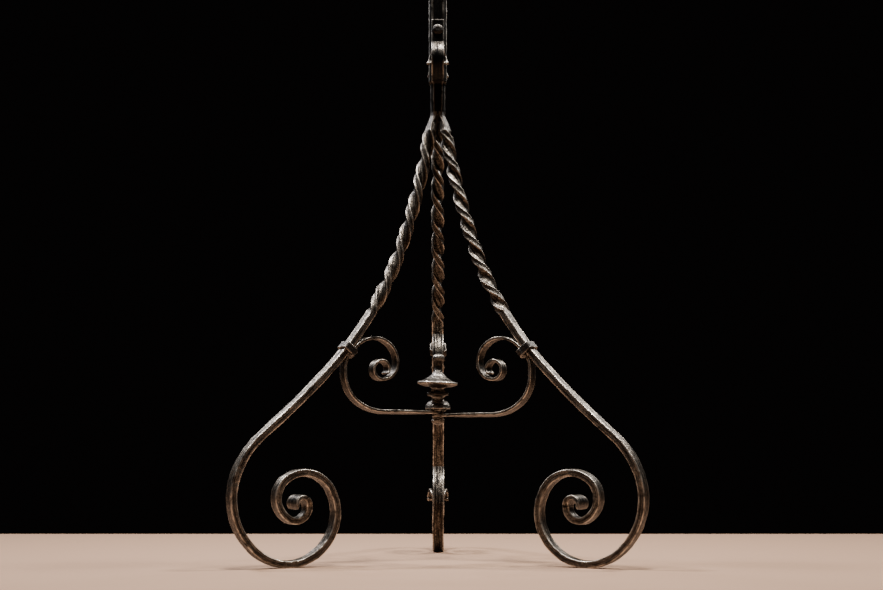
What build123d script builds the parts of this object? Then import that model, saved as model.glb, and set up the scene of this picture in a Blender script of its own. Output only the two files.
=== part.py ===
"""Forged iron tripod stand: three twisted scroll-foot legs, strap braces, turned hub and a stem.

Millimetres.  Z is up, the floor is z = 0 and the back leg points to +Y.  The origin is the
middle of the footprint, so the stem stands on the line x = 0, y = AXIS_Y.  Every leg and
brace is drawn in a radial plane (r outward, z up) and then turned to its own azimuth.
"""
import os
from math import atan2, cos, radians, sin

from build123d import *

# ---------------------------------------------------------------- legs
LEG_W = 13.0                 # bar width, across the radial plane
LEG_T = 7.5                  # bar thickness, in the radial plane
BAR_ROUND = 1.2              # hammered-over corner of the bar
HALF_TURNS = {"front_right": 7, "back": 7, "front_left": 6}   # left-hand twist, in half turns
START_R = 9.2                # centre line radius where the twist starts under the weld
START_LEAN = 11.0            # lean of the bar from plumb at that point, degrees
TWISTED = ((800.0, 9.0), (360.0, 13.0))              # (radius, sweep) of the twisted run
SHANK = ((360.0, 10.0), (725.0, 6.0), (0.0, 42.0))   # plain bar down to the foot scroll
FOOT = ((90.0, -28.0), (69.0, -76.0), (54.0, -102.0), (46.0, -58.0),
        (34.0, -88.0), (24.0, -118.0), (14.5, -119.0))
CURL = ((9.3, -80.0), (7.0, -90.0), (5.0, -70.0))    # last roll, drawn out to a fishtail
FISHTAIL_W = 25.0
FISHTAIL_T = 3.2
FLOOR_FLAT = 0.3             # depth worn off the underside of each foot
AZIMUTH = {"front_right": -30.0, "back": 90.0, "front_left": 210.0}

# ---------------------------------------------------------------- weld and stem
SCARF_LOW = 9.0              # height of the middle scarf section above the twist
SCARF_TOP = 16.0             # height where the three bars close into one bundle
BUNDLE_TOP = 24.0            # height where the stem starts
NECK_SIDE = 15.6             # welded square between the bundle and the stem
NECK_LEN = 26.0
STEM_SIDE = 19.0
STEM_CHAMFER = 3.4
STEM_LEN = 106.0
SPIGOT_R = 6.0
SPIGOT_LEN = 30.0

# ---------------------------------------------------------------- braces and collars
STRAP_W = 12.0
STRAP_T = 3.0
STRAP_ROUND = 0.5
COLLAR_FROM_TWIST = {"front_right": 47.0, "back": 35.0, "front_left": 47.0}
COLLAR_LEN = 8.0
COLLAR_WALL = 2.5
COLLAR_SLACK = 0.05
RUN_Z = {"front_left": 157.5, "front_right": 154.5, "back": 151.5}
ELBOW_R = 22.0               # strap bend just under the collar
BELLY = ((37.0, -60.0), (55.0, -30.0))
CREST_R = 33.0               # strap bend just above the collar
COIL = ((25.0, 90.0), (17.5, 90.0), (10.0, 90.0), (9.5, 90.0), (8.0, 90.0))
TIP = ((7.0, 45.0),)
TIP_W = 15.0
TIP_T = 2.2

# ---------------------------------------------------------------- turned hub
BOLT_R = 3.0
BOLT_HOLE_R = 3.15
STACK_TOP = 159.0
STACK_LOW = 150.0
HEAD_R = 7.0
HEAD_H = 5.5
WASHER_R = 9.0
BUN_Z = 161.0
SPOOL_Z = 170.0
VASE_Z = 184.4
KNOB_TOP = 219.6

# ---------------------------------------------------------------- upper scrolls
BRACKET_W = 13.0
BRACKET_T = 6.0
BRACKET_TOP = 568.0
BRACKET_TAIL = 42.0
VOLUTE = ((24.0, 90.0), (18.0, 90.0), (16.0, 90.0))
VOLUTE_END = ((11.0, 125.0),)
BRACKET_TAIL_W = 23.0
RIVET_R = 3.0
RIVET_HEAD_R = 5.5
RIVET_HEAD_H = 2.6
RIVET_DROP = 10.0            # rivet axis below the top of the bracket tail

DOWN = -90.0


# ---------------------------------------------------------------- plane paths
def advance(pose, move, share=1.0):
    """Pose (r, z, direction) after a share of one move: (radius, sweep) or (0, length)."""
    x, y, a = pose
    radius, amount = move
    if radius == 0.0:
        go = amount * share
        return (x + go * cos(radians(a)), y + go * sin(radians(a)), a)
    side = 1.0 if amount > 0 else -1.0
    cx = x - side * radius * sin(radians(a))
    cy = y + side * radius * cos(radians(a))
    b = a + amount * share
    return (cx + side * radius * sin(radians(b)), cy - side * radius * cos(radians(b)), b)


def length_of(move):
    radius, amount = move
    return amount if radius == 0.0 else radius * radians(abs(amount))


def pose_along(pose, moves, distance):
    """Pose at a distance along a chain of moves."""
    for move in moves:
        run = length_of(move)
        if distance <= run:
            return advance(pose, move, distance / run)
        pose = advance(pose, move)
        distance -= run
    return pose


def end_of(pose, moves):
    for move in moves:
        pose = advance(pose, move)
    return pose


def beside(pose, gap):
    """The same pose moved sideways, positive to the left of the travel."""
    x, y, a = pose
    return (x - gap * sin(radians(a)), y + gap * cos(radians(a)), a)


def side_edges(pose, moves, gap):
    """Edges of the path kept at a sideways gap from the centre line."""
    edges = []
    for move in moves:
        x, y, a = beside(pose, gap)
        radius, amount = move
        after = advance(pose, move)
        if radius == 0.0:
            bx, by, _ = beside(after, gap)
            edges.append(Line((x, y), (bx, by)))
        else:
            arm = radius - gap if amount > 0 else radius + gap
            edges.append(JernArc((x, y), (cos(radians(a)), sin(radians(a))), arm, amount))
        pose = after
    return edges


def bar(pose, moves, width, thick, corner):
    """Flat bar bent along the moves in the radial plane, long edges rounded."""
    half = thick / 2
    left = side_edges(pose, moves, half)
    right = side_edges(pose, moves, -half)
    last = end_of(pose, moves)
    ends = []
    for p in (pose, last):
        lx, ly, _ = beside(p, half)
        rx, ry, _ = beside(p, -half)
        ends.append(Line((lx, ly), (rx, ry)))
    face = make_face(left + right + ends)
    solid = extrude(Plane.XZ * face, amount=width / 2, both=True)
    sides = solid.edges().filter_by_position(Axis.Y, width / 2 - 0.01, width / 2 + 0.01)
    sides += solid.edges().filter_by_position(Axis.Y, -width / 2 - 0.01, -width / 2 + 0.01)
    long_edges = [e for e in sides if abs(e.length - thick) > 1e-4]
    return fillet(long_edges, corner)


def section(pose, width, thick, corner, turn=0.0):
    """Rounded rectangle across the bar at a pose, turned about the bar axis."""
    x, y, a = pose
    plane = Plane(
        origin=(x, 0, y),
        x_dir=(-sin(radians(a)), 0, cos(radians(a))),
        z_dir=(cos(radians(a)), 0, sin(radians(a))),
    )
    shape = RectangleRounded(thick, width, corner)
    return plane * (Rot(0, 0, turn) * shape)


def flared(pose, moves, width, thick, end_width, end_thick, corner, count, early=False):
    """End of a bar drawn out wide and thin along its last arcs."""
    total = sum(length_of(m) for m in moves)
    sections = []
    for i in range(count + 1):
        u = i / count
        spread = u * (2 - u) if early else u * u
        w = width + (end_width - width) * spread
        t = thick + (end_thick - thick) * u
        c = min(corner, 0.4 * t)
        sections.append(section(pose_along(pose, moves, total * u), w, t, c))
    return loft(sections)


# ---------------------------------------------------------------- legs
def leg_start():
    """Pose of the leg centre line at the top of the twist, set by the foot on the floor."""
    rise = (START_R, 0.0, DOWN + START_LEAN)
    low = 0.0
    pose = rise
    for move in TWISTED + SHANK + FOOT:
        for k in range(1, 201):
            low = min(low, advance(pose, move, k / 200)[1])
        pose = advance(pose, move)
    return (START_R, LEG_T / 2 - FLOOR_FLAT - low, DOWN + START_LEAN)


LEG_TOP = leg_start()
TWIST_END = end_of(LEG_TOP, TWISTED)
FOOT_END = end_of(TWIST_END, SHANK + FOOT)
WELD_Z = LEG_TOP[1]
NECK_Z = WELD_Z + BUNDLE_TOP
STEM_Z = NECK_Z + NECK_LEN
SHOULDER_Z = STEM_Z + STEM_LEN


def twisted_run(half_turns):
    total = sum(length_of(m) for m in TWISTED)
    steps = half_turns * 8
    sections = []
    for i in range(steps + 1):
        pose = pose_along(LEG_TOP, TWISTED, total * i / steps)
        sections.append(section(pose, LEG_W, LEG_T, BAR_ROUND, -22.5 * i))
    return loft(sections)


def wedge(z, inner, flank, shoulder, crown):
    """Eight-sided scarf section; each point is (radial, half width)."""
    ring = [inner, flank, shoulder, crown]
    points = [(r, -w) for r, w in ring] + [(r, w) for r, w in reversed(ring)]
    return Plane.XY.offset(z) * make_face(Polyline(*points, close=True))


def scarf():
    """Upper end of the leg, drawn down to a third of the welded bundle."""
    bar_end = section(LEG_TOP, LEG_W, LEG_T, BAR_ROUND)
    middle = wedge(WELD_Z + SCARF_LOW, (3.4, 3.6), (4.2, 4.8), (9.4, 4.8), (10.2, 3.8))
    top = ((0.6, 0.9), (2.9, 4.8), (4.0, 5.0), (7.3, 3.2))
    close = wedge(WELD_Z + SCARF_TOP, *top)
    end = wedge(NECK_Z, *top)
    return loft([bar_end, middle, close, end], ruled=True)


def leg(half_turns):
    lower = bar(TWIST_END, SHANK + FOOT, LEG_W, LEG_T, BAR_ROUND)
    curl = flared(FOOT_END, CURL, LEG_W, LEG_T, FISHTAIL_W, FISHTAIL_T, BAR_ROUND, 12, True)
    solid = lower + curl + twisted_run(half_turns) + scarf()
    floor = Pos(150, 0, -20) * Box(300, 60, 40)
    return solid - floor


# ---------------------------------------------------------------- braces
def collar_pose(name):
    return pose_along(TWIST_END, SHANK, COLLAR_FROM_TWIST[name])


def brace(name):
    """C-shaped strap: hub end, belly, collar contact, crest and inner coil."""
    grip = beside(collar_pose(name), -(LEG_T + STRAP_T) / 2)
    straight = COLLAR_LEN / 2
    down = grip
    below = advance(advance(down, (0.0, straight)), (ELBOW_R, DOWN - down[2]))
    belly_drop = below[1] - end_of(below, BELLY)[1]
    plumb = below[1] - belly_drop - RUN_Z[name]
    lower_moves = ((0.0, straight), (ELBOW_R, DOWN - down[2]), (0.0, plumb)) + BELLY
    reach = end_of(down, lower_moves)[0]
    lower = bar(down, lower_moves + ((0.0, reach),), STRAP_W, STRAP_T, STRAP_ROUND)
    up = (grip[0], grip[1], grip[2] + 180.0)
    upper_moves = ((0.0, straight), (CREST_R, 180.0 - up[2])) + COIL
    upper = bar(up, upper_moves, STRAP_W, STRAP_T, STRAP_ROUND)
    tip = flared(end_of(up, upper_moves), TIP, STRAP_W, STRAP_T, TIP_W, TIP_T, STRAP_ROUND, 4)
    eye = Pos(0, 0, RUN_Z[name]) * Cylinder(STRAP_W / 2, STRAP_T)
    eye = fillet(eye.edges().filter_by(GeomType.CIRCLE), STRAP_ROUND)
    bore = Pos(0, 0, RUN_Z[name]) * Cylinder(BOLT_HOLE_R, 3 * STRAP_T)
    return lower + upper + tip + eye - bore


def collar(name):
    """Band wrapped round the leg and the strap."""
    x, y, a = beside(collar_pose(name), -STRAP_T / 2)
    plane = Plane(
        origin=(x, 0, y),
        x_dir=(-sin(radians(a)), 0, cos(radians(a))),
        z_dir=(cos(radians(a)), 0, sin(radians(a))),
    )
    thick = LEG_T + STRAP_T + 2 * COLLAR_SLACK
    wide = LEG_W + 2 * COLLAR_SLACK
    outer = RectangleRounded(thick + 2 * COLLAR_WALL, wide + 2 * COLLAR_WALL, 2.2)
    ring = outer - RectangleRounded(thick, wide, 0.3)
    band = extrude(plane * ring, amount=COLLAR_LEN / 2, both=True)
    return band


# ---------------------------------------------------------------- turned hub
def turned(moves_in, bore_r=BOLT_HOLE_R):
    """Revolve a half profile given as a closed list of edges in the (r, z) plane."""
    solid = revolve(Plane.XZ * make_face(moves_in), Axis.Z)
    if bore_r:
        box = solid.bounding_box()
        mid = (box.min.Z + box.max.Z) / 2
        solid = solid - Pos(0, 0, mid) * Cylinder(bore_r, 2 * (box.max.Z - box.min.Z))
    return solid


def crown_arc(r, z, top):
    """Arc from (r, z) to the axis at height top, square to the axis there."""
    rise = top - z
    ball = (r * r + rise * rise) / (2 * rise)
    half = atan2(r, ball - rise) / 2
    return ThreePointArc((r, z), (ball * sin(half), top - ball * (1 - cos(half))), (0, top))


def finial_vase():
    """Knob, waisted neck and wide thin disc in one turned piece, tapped for the bolt."""
    knob_r = 6.5
    knob_z = KNOB_TOP - 4.6
    neck = (3.9, 206.6)
    rim = (20.3, 189.7)
    edges = [
        Line((0, VASE_Z), (11.0, VASE_Z)),
        ThreePointArc((11.0, VASE_Z), (16.0, 185.2), (20.3, 186.9)),
        ThreePointArc((20.3, 186.9), (21.2, 188.2), rim),
        ThreePointArc(rim, (13.6, 192.3), (8.1, 196.2)),
        ThreePointArc((8.1, 196.2), (4.9, 200.8), neck),
        ThreePointArc(neck, (4.3, 208.7), (5.4, knob_z - 3.6)),
        ThreePointArc((5.4, knob_z - 3.6), (knob_r, knob_z), (4.9, knob_z + 3.3)),
        crown_arc(4.9, knob_z + 3.3, KNOB_TOP),
        Line((0, KNOB_TOP), (0, VASE_Z)),
    ]
    solid = turned(edges, 0)
    socket = Pos(0, 0, VASE_Z + 4.5) * Cylinder(BOLT_R, 9.0)
    return solid - socket


def finial_spool():
    """Spool with a bead round its middle."""
    top = VASE_Z
    mid = (SPOOL_Z + top) / 2
    edges = [
        Line((0, SPOOL_Z), (7.2, SPOOL_Z)),
        ThreePointArc((7.2, SPOOL_Z), (6.5, mid - 4.2), (9.2, mid - 2.2)),
        ThreePointArc((9.2, mid - 2.2), (11.8, mid), (9.2, mid + 2.2)),
        ThreePointArc((9.2, mid + 2.2), (6.8, mid + 4.2), (9.0, top)),
        Line((9.0, top), (0, top)),
        Line((0, top), (0, SPOOL_Z)),
    ]
    return turned(edges)


def finial_bun():
    edges = [
        Line((0, BUN_Z), (12.4, BUN_Z)),
        ThreePointArc((12.4, BUN_Z), (13.3, BUN_Z + 0.5), (13.3, BUN_Z + 1.5)),
        ThreePointArc((13.3, BUN_Z + 1.5), (11.8, BUN_Z + 5.8), (7.6, SPOOL_Z)),
        Line((7.6, SPOOL_Z), (0, SPOOL_Z)),
        Line((0, SPOOL_Z), (0, BUN_Z)),
    ]
    return turned(edges)


def hub_washer():
    body = Pos(0, 0, (STACK_TOP + BUN_Z) / 2) * Cylinder(WASHER_R, BUN_Z - STACK_TOP)
    body = chamfer(body.edges().filter_by(GeomType.CIRCLE), 0.4)
    return body - Pos(0, 0, STACK_TOP) * Cylinder(BOLT_HOLE_R, 20)


def hub_bolt():
    """Bolt up the middle of the hub with a domed head under the straps."""
    top = VASE_Z + 9.0
    shank = Pos(0, 0, (STACK_LOW + top) / 2) * Cylinder(BOLT_R, top - STACK_LOW)
    low = STACK_LOW - HEAD_H
    edges = [
        Line((0, low), (2.0, low)),
        ThreePointArc((2.0, low), (5.6, low + 1.7), (HEAD_R, STACK_LOW - 1.0)),
        Line((HEAD_R, STACK_LOW - 1.0), (HEAD_R, STACK_LOW)),
        Line((HEAD_R, STACK_LOW), (0, STACK_LOW)),
        Line((0, STACK_LOW), (0, low)),
    ]
    return shank + turned(edges, 0)


# ---------------------------------------------------------------- stem and upper scrolls
def square_prism(side, cut, low, high):
    body = Pos(0, 0, (low + high) / 2) * Box(side, side, high - low)
    return chamfer(body.edges().filter_by(Axis.Z), cut)


def stem():
    neck = square_prism(NECK_SIDE, 3.2, NECK_Z, STEM_Z)
    upper = square_prism(STEM_SIDE, STEM_CHAMFER, STEM_Z, SHOULDER_Z)
    upper = chamfer(upper.faces().sort_by(Axis.Z)[-1].edges(), 1.2)
    upper = chamfer(upper.faces().sort_by(Axis.Z)[0].edges(), 1.0)
    tenon = Pos(0, 0, SHOULDER_Z + SPIGOT_LEN / 2) * Cylinder(SPIGOT_R, SPIGOT_LEN)
    tenon = chamfer(tenon.edges().sort_by(Axis.Z)[-1], 1.0)
    body = neck + upper + tenon
    hole = Pos(0, 0, BRACKET_TOP - RIVET_DROP) * Rot(90, 0, 0)
    return body - hole * Cylinder(RIVET_R, 2 * STEM_SIDE)


def bracket():
    """Scroll whose tail lies on the stem face and whose volute ends in a fishtail."""
    pose = (STEM_SIDE / 2 + BRACKET_T / 2, BRACKET_TOP, DOWN)
    moves = ((0.0, BRACKET_TAIL),) + VOLUTE
    body = bar(pose, moves, BRACKET_W, BRACKET_T, 0.9)
    tail = flared(end_of(pose, moves), VOLUTE_END, BRACKET_W, BRACKET_T, BRACKET_TAIL_W, 2.8,
                  0.9, 7)
    hole = Pos(0, 0, BRACKET_TOP - RIVET_DROP) * Rot(0, 90, 0) * Cylinder(RIVET_R, 80)
    return body + tail - Pos(-20, 0, 0) * hole


def through_rivet():
    """Rivet through both bracket tails and the stem, domed at each end."""
    grip = STEM_SIDE + 2 * BRACKET_T
    edges = [
        Line((0, -grip / 2 - RIVET_HEAD_H), (1.2, -grip / 2 - RIVET_HEAD_H)),
        ThreePointArc((1.2, -grip / 2 - RIVET_HEAD_H), (4.2, -grip / 2 - 1.8),
                      (RIVET_HEAD_R, -grip / 2)),
        Line((RIVET_HEAD_R, -grip / 2), (RIVET_R, -grip / 2)),
        Line((RIVET_R, -grip / 2), (RIVET_R, grip / 2)),
        Line((RIVET_R, grip / 2), (RIVET_HEAD_R, grip / 2)),
        ThreePointArc((RIVET_HEAD_R, grip / 2), (4.2, grip / 2 + 1.8),
                      (1.2, grip / 2 + RIVET_HEAD_H)),
        Line((1.2, grip / 2 + RIVET_HEAD_H), (0, grip / 2 + RIVET_HEAD_H)),
        Line((0, grip / 2 + RIVET_HEAD_H), (0, -grip / 2 - RIVET_HEAD_H)),
    ]
    solid = revolve(Plane.XZ * make_face(edges), Axis.Z)
    return Pos(0, 0, BRACKET_TOP - RIVET_DROP) * Rot(90, 0, 0) * solid


# ---------------------------------------------------------------- assembly
def assemble():
    nodes = {}
    legs_by_twist = {n: leg(n) for n in set(HALF_TURNS.values())}
    for name, azimuth in AZIMUTH.items():
        turn = Rot(0, 0, azimuth)
        nodes["leg_" + name] = turn * legs_by_twist[HALF_TURNS[name]]
        nodes["brace_" + name] = turn * brace(name)
        nodes["collar_" + name] = turn * collar(name)
    nodes["stem"] = stem()
    one_bracket = bracket()
    nodes["scroll_front"] = Rot(0, 0, -90) * one_bracket
    nodes["scroll_back"] = Rot(0, 0, 90) * one_bracket
    nodes["scroll_rivet"] = through_rivet()
    nodes["finial_vase"] = finial_vase()
    nodes["finial_spool"] = finial_spool()
    nodes["finial_bun"] = finial_bun()
    nodes["hub_washer"] = hub_washer()
    nodes["hub_bolt"] = hub_bolt()
    legs = [nodes["leg_" + name].bounding_box() for name in AZIMUTH]
    axis_y = -(max(b.max.Y for b in legs) + min(b.min.Y for b in legs)) / 2
    return {name: Pos(0, axis_y, 0) * shape for name, shape in nodes.items()}, axis_y


if __name__ == "__main__":
    os.makedirs("parts", exist_ok=True)
    parts, AXIS_Y = assemble()
    print("axis y", round(AXIS_Y, 3), "weld z", round(WELD_Z, 2), "shoulder z", round(SHOULDER_Z, 2))
    for node, shape in parts.items():
        export_step(shape, "parts/" + node + ".step")
        box = shape.bounding_box()
        print(node, len(shape.solids()), round(shape.volume, 1), "x", round(box.min.X, 2),
              round(box.max.X, 2), "y", round(box.min.Y, 2), round(box.max.Y, 2), "z",
              round(box.min.Z, 2), round(box.max.Z, 2))
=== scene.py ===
import math

import bpy
import numpy as np
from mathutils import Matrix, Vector


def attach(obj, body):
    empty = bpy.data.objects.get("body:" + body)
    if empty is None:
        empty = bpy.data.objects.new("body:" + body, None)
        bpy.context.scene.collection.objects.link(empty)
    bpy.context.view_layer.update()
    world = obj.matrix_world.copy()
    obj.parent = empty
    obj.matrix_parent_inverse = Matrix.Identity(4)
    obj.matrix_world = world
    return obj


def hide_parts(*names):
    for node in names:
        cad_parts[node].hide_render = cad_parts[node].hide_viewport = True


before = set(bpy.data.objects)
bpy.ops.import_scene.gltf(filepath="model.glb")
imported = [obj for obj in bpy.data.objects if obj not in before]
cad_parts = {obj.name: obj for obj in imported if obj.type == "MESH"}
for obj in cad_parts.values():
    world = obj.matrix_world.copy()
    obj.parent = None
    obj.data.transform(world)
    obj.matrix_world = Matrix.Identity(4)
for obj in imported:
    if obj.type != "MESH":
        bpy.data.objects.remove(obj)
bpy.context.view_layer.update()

# Everything below is worked out in millimetres and scaled to metres when a mesh is made.
# The stand's axis lies in front of the frame's origin. A bar's path lies in an upright plane
# through that axis, as (distance from the axis, height, heading in degrees). One move along it
# is (radius, degrees turned), or (0, length) where it is straight.
MM = 0.001
AXIS_Y = -56.742
DOWN = -90.0

LEG_W, LEG_T, LEG_CORNER = 13.0, 7.5, 1.25
START_R, START_LEAN = 9.2, 11.0
TWISTED = ((800.0, 9.0), (360.0, 13.0))
SHANK = ((360.0, 10.0), (725.0, 6.0), (0.0, 42.0))
FOOT = ((90.0, -28.0), (69.0, -76.0), (54.0, -102.0), (46.0, -58.0),
        (34.0, -88.0), (24.0, -118.0), (14.5, -119.0))
CURL = ((9.3, -80.0), (7.0, -90.0), (5.0, -70.0))
FISHTAIL_W, FISHTAIL_T = 25.0, 3.2
HALF_TURNS = {"front_right": 7, "back": 7, "front_left": 6}
FLOOR_FLAT = 0.3
AZIMUTH = {"front_right": -30.0, "back": 90.0, "front_left": 210.0}
SCARF_LOW, SCARF_TOP, BUNDLE_TOP = 9.0, 16.0, 24.0
WELD_RINGS = (8, 8, 9)
FISHTAIL_RINGS = 36
FISHTAIL_BOW, BOW_FROM = 2.2, 0.7

STRAP_W, STRAP_T, STRAP_CORNER = 12.0, 3.0, 0.75
STRAP_TILT = {"front_left": 9.0, "front_right": -9.0, "back": 3.0}
COLLAR_FROM_TWIST = {"front_right": 47.0, "back": 35.0, "front_left": 47.0}
RUN_Z = {"front_left": 157.5, "front_right": 154.5, "back": 151.5}
ELBOW_R, CREST_R = 22.0, 33.0
BELLY = ((37.0, -60.0), (55.0, -30.0))
COIL = ((25.0, 90.0), (17.5, 90.0), (10.0, 90.0), (9.5, 90.0), (8.0, 90.0))
TIP = (7.0, 45.0)
TIP_RINGS = 10
COLLAR_LEN, COLLAR_WALL, COLLAR_BEND, COLLAR_GAP = 8.0, 2.5, 1.7, 0.05
LAP_LEN, LAP_LIFT = 9.5, 2.15

WASHER_Z, BUN_Z, SPOOL_Z, VASE_Z = 159.0, 161.0, 170.0, 184.4
BOLT_Z, KNOB_Z, FINIAL_TOP = 144.5, 215.0, 219.6
BOLT_HOLE_R = 3.1
FINIAL_LEAN, FINIAL_ASIDE = 2.6, 0.4

STEM_SIDE, NECK_SIDE = 19.0, 15.6
NECK_LAP, NECK_BLEND = 6.0, 17.0
SPIGOT_R, SPIGOT_LEN = 6.0, 30.0
BRACKET_W, BRACKET_T, BRACKET_TOP, BRACKET_TAIL = 13.0, 6.0, 568.0, 42.0
VOLUTE = ((24.0, 90.0), (18.0, 90.0), (16.0, 90.0))
VOLUTE_END = (11.0, 125.0)
VOLUTE_END_RINGS = 24
RIVET_DROP, RIVET_SHANK_R, RIVET_HEAD = 10.0, 3.0, 2.6


# ------------------------------------------------------------ plane paths
def advance(pose, move, share=1.0):
    """Pose after a share of one move."""
    x, y, a = pose
    radius, amount = move
    if radius == 0.0:
        go = amount * share
        return (x + go * math.cos(math.radians(a)), y + go * math.sin(math.radians(a)), a)
    side = 1.0 if amount > 0 else -1.0
    cx = x - side * radius * math.sin(math.radians(a))
    cy = y + side * radius * math.cos(math.radians(a))
    b = a + amount * share
    return (cx + side * radius * math.sin(math.radians(b)),
            cy - side * radius * math.cos(math.radians(b)), b)


def length_of(move):
    return move[1] if move[0] == 0.0 else move[0] * math.radians(abs(move[1]))


def end_of(pose, moves):
    for move in moves:
        pose = advance(pose, move)
    return pose


def pose_along(pose, moves, distance):
    """Pose at a distance along the moves."""
    for move in moves:
        run = length_of(move)
        if distance <= run:
            return advance(pose, move, distance / run)
        pose = advance(pose, move)
        distance -= run
    return pose


def beside(pose, gap):
    """Pose shifted square to its heading."""
    x, y, a = pose
    return (x - gap * math.sin(math.radians(a)), y + gap * math.cos(math.radians(a)), a)


def trail(pose, moves, step):
    """Poses about every step along the moves, with the distance of each."""
    total = sum(length_of(m) for m in moves)
    count = max(2, int(round(total / step)))
    where = [total * i / count for i in range(count + 1)]
    return [pose_along(pose, moves, min(s, total)) for s in where], np.array(where)


def heading_of(pose):
    """Unit direction of a pose in the bar's plane."""
    t = math.radians(pose[2])
    return np.array([math.cos(t), 0.0, math.sin(t)])


def ramp(value, start, length):
    """Rises from 0 at start to 1 after length."""
    return min(1.0, max(0.0, (value - start) / length))


def eased(f):
    """Smooth step of a share from 0 to 1."""
    return f * f * (3 - 2 * f)


def leg_top():
    """Pose at the top of a leg's bar, at the height that rests its foot on the floor."""
    pose = (START_R, 0.0, DOWN + START_LEAN)
    low = 0.0
    samples = 200
    for move in TWISTED + SHANK + FOOT:
        for k in range(1, samples + 1):
            low = min(low, advance(pose, move, k / samples)[1])
        pose = advance(pose, move)
    return (START_R, LEG_T / 2 - FLOOR_FLAT - low, DOWN + START_LEAN)


LEG_TOP = leg_top()
TWIST_END = end_of(LEG_TOP, TWISTED)
WELD_Z = LEG_TOP[1]
NECK_Z = WELD_Z + BUNDLE_TOP
STEM_Z = NECK_Z + 26.0
SHOULDER_Z = STEM_Z + 106.0


# ------------------------------------------------------------ sections
ARC_N, SHORT_N, LONG_N = 4, 4, 9
EDGE_SIDE, EDGE_FADE = 0.35, 0.9


def crowded(f):
    """A share from 0 to 1, drawn towards both ends so that points gather at the corners."""
    c = math.cos(math.pi * f)
    return 0.5 - 0.5 * math.copysign(abs(c) ** 0.65, c)


def rect_ring(width, thick, corner, long_n=LONG_N, short_n=SHORT_N):
    """Rounded rectangle: columns are u (thickness), v (width), edge weight."""
    hu, hv = thick / 2, width / 2
    c = min(corner, 0.48 * thick, 0.48 * width)
    rows = []
    corners = ((-hu + c, hv - c, 180.0, -90.0), (hu - c, hv - c, 90.0, -90.0),
               (hu - c, -hv + c, 0.0, -90.0), (-hu + c, -hv + c, -90.0, -90.0))
    counts = (short_n, long_n, short_n, long_n)
    for k in range(4):
        cu, cv, start, sweep = corners[k]
        for i in range(ARC_N + 1):
            t = math.radians(start + sweep * i / ARC_N)
            rows.append((cu + c * math.cos(t), cv + c * math.sin(t),
                         EDGE_SIDE + (1 - EDGE_SIDE) * math.sin(math.pi * i / ARC_N)))
        nu, nv, nstart, _ = corners[(k + 1) % 4]
        first = rows[-1]
        t = math.radians(nstart)
        last = (nu + c * math.cos(t), nv + c * math.sin(t))
        du, dv = last[0] - first[0], last[1] - first[1]
        for i in range(1, counts[k]):
            f = crowded(i / counts[k])
            far = min(f, 1 - f) * math.hypot(du, dv)
            rows.append((first[0] + du * f, first[1] + dv * f,
                         max(0.0, EDGE_SIDE * (1.0 - far / EDGE_FADE))))
    return np.array(rows)


def wedge_ring(inner, flank, shoulder, crown):
    """Scarf section with the point count of rect_ring: (radial, tangential)."""
    half = [inner, flank, shoulder, crown]
    pts = half + [(u, -v) for u, v in reversed(half)]
    rows = []
    for k, between in enumerate((SHORT_N, LONG_N, SHORT_N, LONG_N)):
        p, q, r = pts[2 * k], pts[2 * k + 1], pts[(2 * k + 2) % 8]
        for i in range(ARC_N + 1):
            f = i / ARC_N
            rows.append((p[0] + (q[0] - p[0]) * f, p[1] + (q[1] - p[1]) * f))
        for i in range(1, between):
            f = i / between
            rows.append((q[0] + (r[0] - q[0]) * f, q[1] + (r[1] - q[1]) * f))
    return np.array(rows)


def place_ring(pose, ring, turn=0.0, aside=0.0):
    """Ring points in the bar's plane, turned about the bar by turn degrees and moved aside."""
    x, z, a = pose
    ca, sa = math.cos(math.radians(a)), math.sin(math.radians(a))
    ct, st = math.cos(math.radians(turn)), math.sin(math.radians(turn))
    u = ring[:, 0] * ct - ring[:, 1] * st
    v = ring[:, 0] * st + ring[:, 1] * ct + aside
    return np.stack([x - sa * u, -v, z + ca * u], axis=1)


# ------------------------------------------------------------ forged surface
def smooth_noise(rng, length, step, size):
    """Smooth random curve over a length: returns a function of distance."""
    n = max(4, int(length / step) + 3)
    knots = rng.normal(0.0, size, n)
    at = np.linspace(-step, length + step, n)

    def curve(s):
        i = np.clip(np.searchsorted(at, s) - 1, 0, n - 2)
        f = np.clip((s - at[i]) / (at[i + 1] - at[i]), 0, 1)
        f = eased(f)
        return knots[i] * (1 - f) + knots[i + 1] * f

    return curve


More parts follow.
